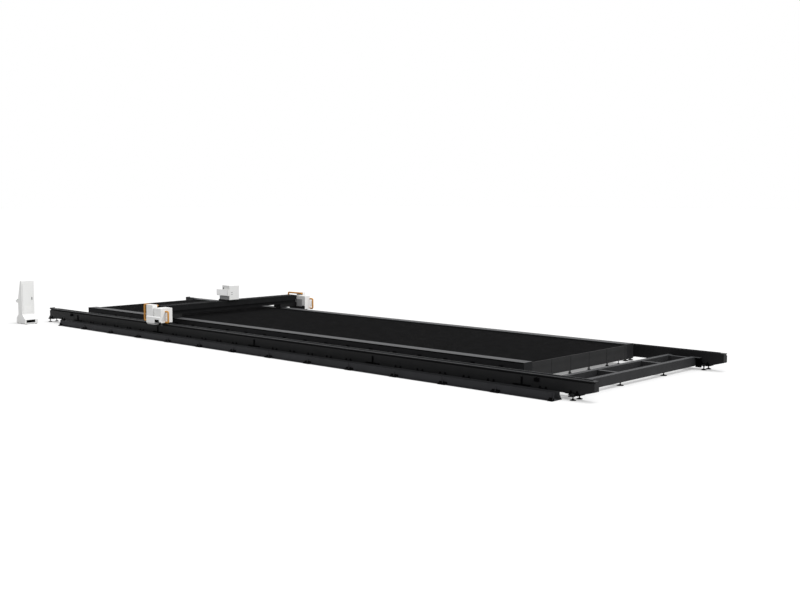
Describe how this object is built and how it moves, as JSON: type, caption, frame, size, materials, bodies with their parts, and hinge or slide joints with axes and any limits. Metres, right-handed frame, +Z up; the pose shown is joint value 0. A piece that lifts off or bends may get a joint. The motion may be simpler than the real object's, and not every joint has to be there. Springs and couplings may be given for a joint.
{
  "type": "fiber laser cutting machine",
  "caption": "Large fiber laser cutting machine: two long beds with rails and racks, a gantry with a cutting head over a slatted table, a cable trough and an operator console.",
  "frame": {"origin": "centre of the footprint on the floor", "axes": "+X along the beds away from the console, +Y from the console side to the far bed, +Z up"},
  "size_m": [28.885, 9.089, 1.87],
  "materials": {
    "dark_paint": "satin",
    "ground_steel": "satin",
    "slat_steel": "matte",
    "table_paint": "satin",
    "white_paint": "satin",
    "orange_paint": "satin",
    "black_plastic": "matte",
    "red_plastic": "gloss",
    "green_plastic": "gloss",
    "brass": "satin"
  },
  "bodies": {
    "frame": {"cable_trough": "dark_paint", "console_base": "white_paint", "console_shell": "white_paint", "end_frame": "dark_paint", "far_bed": "dark_paint", "far_limit_switch": "black_plastic", "far_table_side": "table_paint", "far_x_rack": "ground_steel", "far_x_rail": "ground_steel", "keyboard": "black_plastic", "keyboard_shelf": "white_paint", "left_limit_switch": "black_plastic", "left_table_end": "table_paint", "near_bed": "dark_paint", "near_table_side": "table_paint", "near_x_rack": "ground_steel", "near_x_rail": "ground_steel", "right_limit_switch": "black_plastic", "right_table_end": "table_paint", "screen": "black_plastic", "slag_tray_1": "dark_paint", "slag_tray_2": "dark_paint", "slat_bank_1": "slat_steel", "slat_bank_2": "slat_steel", "slat_bank_3": "slat_steel", "slat_bank_4": "slat_steel"},
    "gantry": {"crossbeam": "dark_paint", "near_carriage": "dark_paint", "far_carriage": "dark_paint", "near_x_motor": "black_plastic", "far_x_motor": "black_plastic", "near_tall_cover": "white_paint", "far_tall_cover": "white_paint", "near_drive_cover": "white_paint", "far_drive_cover": "white_paint", "near_left_hoop": "orange_paint", "near_right_hoop": "orange_paint", "far_left_hoop": "orange_paint", "far_right_hoop": "orange_paint", "y_rail_upper": "ground_steel", "y_rail_lower": "ground_steel", "y_rack": "ground_steel", "y_cable_tray": "dark_paint"},
    "near_x_gear": {"near_x_pinion": "ground_steel"},
    "far_x_gear": {"far_x_pinion": "ground_steel"},
    "saddle": {"saddle_plate": "dark_paint", "saddle_cover": "white_paint", "side_housing": "white_paint", "y_motor": "black_plastic", "z_housing": "dark_paint", "z_motor": "black_plastic"},
    "y_gear": {"y_pinion": "ground_steel"},
    "ball_screw": {"z_screw": "ground_steel"},
    "head_slide": {"z_carriage": "ground_steel", "cutting_head": "black_plastic", "nozzle": "brass"},
    "door": {"rear_door": "white_paint"},
    "handle": {"door_handle": "black_plastic"},
    "estop": {"estop_button": "red_plastic"},
    "start": {"start_button": "green_plastic"}
  },
  "joints": [
    {"name": "gantry_slide", "type": "slide", "parent": "frame", "child": "gantry", "axis": [1, 0, 0], "range_m": [-6, 19]},
    {"name": "near_pinion_turn", "type": "hinge", "parent": "gantry", "child": "near_x_gear", "pos_m": [-5.3475, -3.2395, 0.527], "axis": [0, 0, 1], "continuous": true},
    {"name": "far_pinion_turn", "type": "hinge", "parent": "gantry", "child": "far_x_gear", "pos_m": [-5.3475, 4.3045, 0.527], "axis": [0, 0, 1], "continuous": true},
    {"name": "saddle_slide", "type": "slide", "parent": "gantry", "child": "saddle", "axis": [0, 1, 0], "range_m": [-2.45, 2.4]},
    {"name": "y_pinion_turn", "type": "hinge", "parent": "saddle", "child": "y_gear", "pos_m": [-6.174, 0.2905, 1.002], "axis": [1, 0, 0], "continuous": true},
    {"name": "head_lift", "type": "slide", "parent": "saddle", "child": "head_slide", "axis": [0, 0, 1], "range_m": [-0.115, 0.1]},
    {"name": "screw_turn", "type": "hinge", "parent": "saddle", "child": "ball_screw", "pos_m": [-6.3475, 0.5705, 1.23], "axis": [0, 0, 1], "continuous": true},
    {"name": "door_hinge", "type": "hinge", "parent": "frame", "child": "door", "pos_m": [-13.8482, -4.5055, 1.11], "axis": [0, 0, -1], "range_deg": [0, 110]},
    {"name": "handle_turn", "type": "hinge", "parent": "door", "child": "handle", "pos_m": [-13.8539, -4.0795, 1.13], "axis": [-1, 0, 0], "range_deg": [0, 90]},
    {"name": "estop_push", "type": "slide", "parent": "frame", "child": "estop", "axis": [0, 0, -1], "range_m": [0, 0.005], "stiffness_N_per_m": 1500},
    {"name": "start_push", "type": "slide", "parent": "frame", "child": "start", "axis": [0, 0, -1], "range_m": [0, 0.005], "stiffness_N_per_m": 1500}
  ],
  "couplings": [
    {"joint": "near_pinion_turn", "follows": "gantry_slide", "rad_per_m": 27.778},
    {"joint": "far_pinion_turn", "follows": "gantry_slide", "rad_per_m": -27.778},
    {"joint": "y_pinion_turn", "follows": "saddle_slide", "rad_per_m": 41.667},
    {"joint": "screw_turn", "follows": "head_lift", "rad_per_m": -628.32}
  ]
}
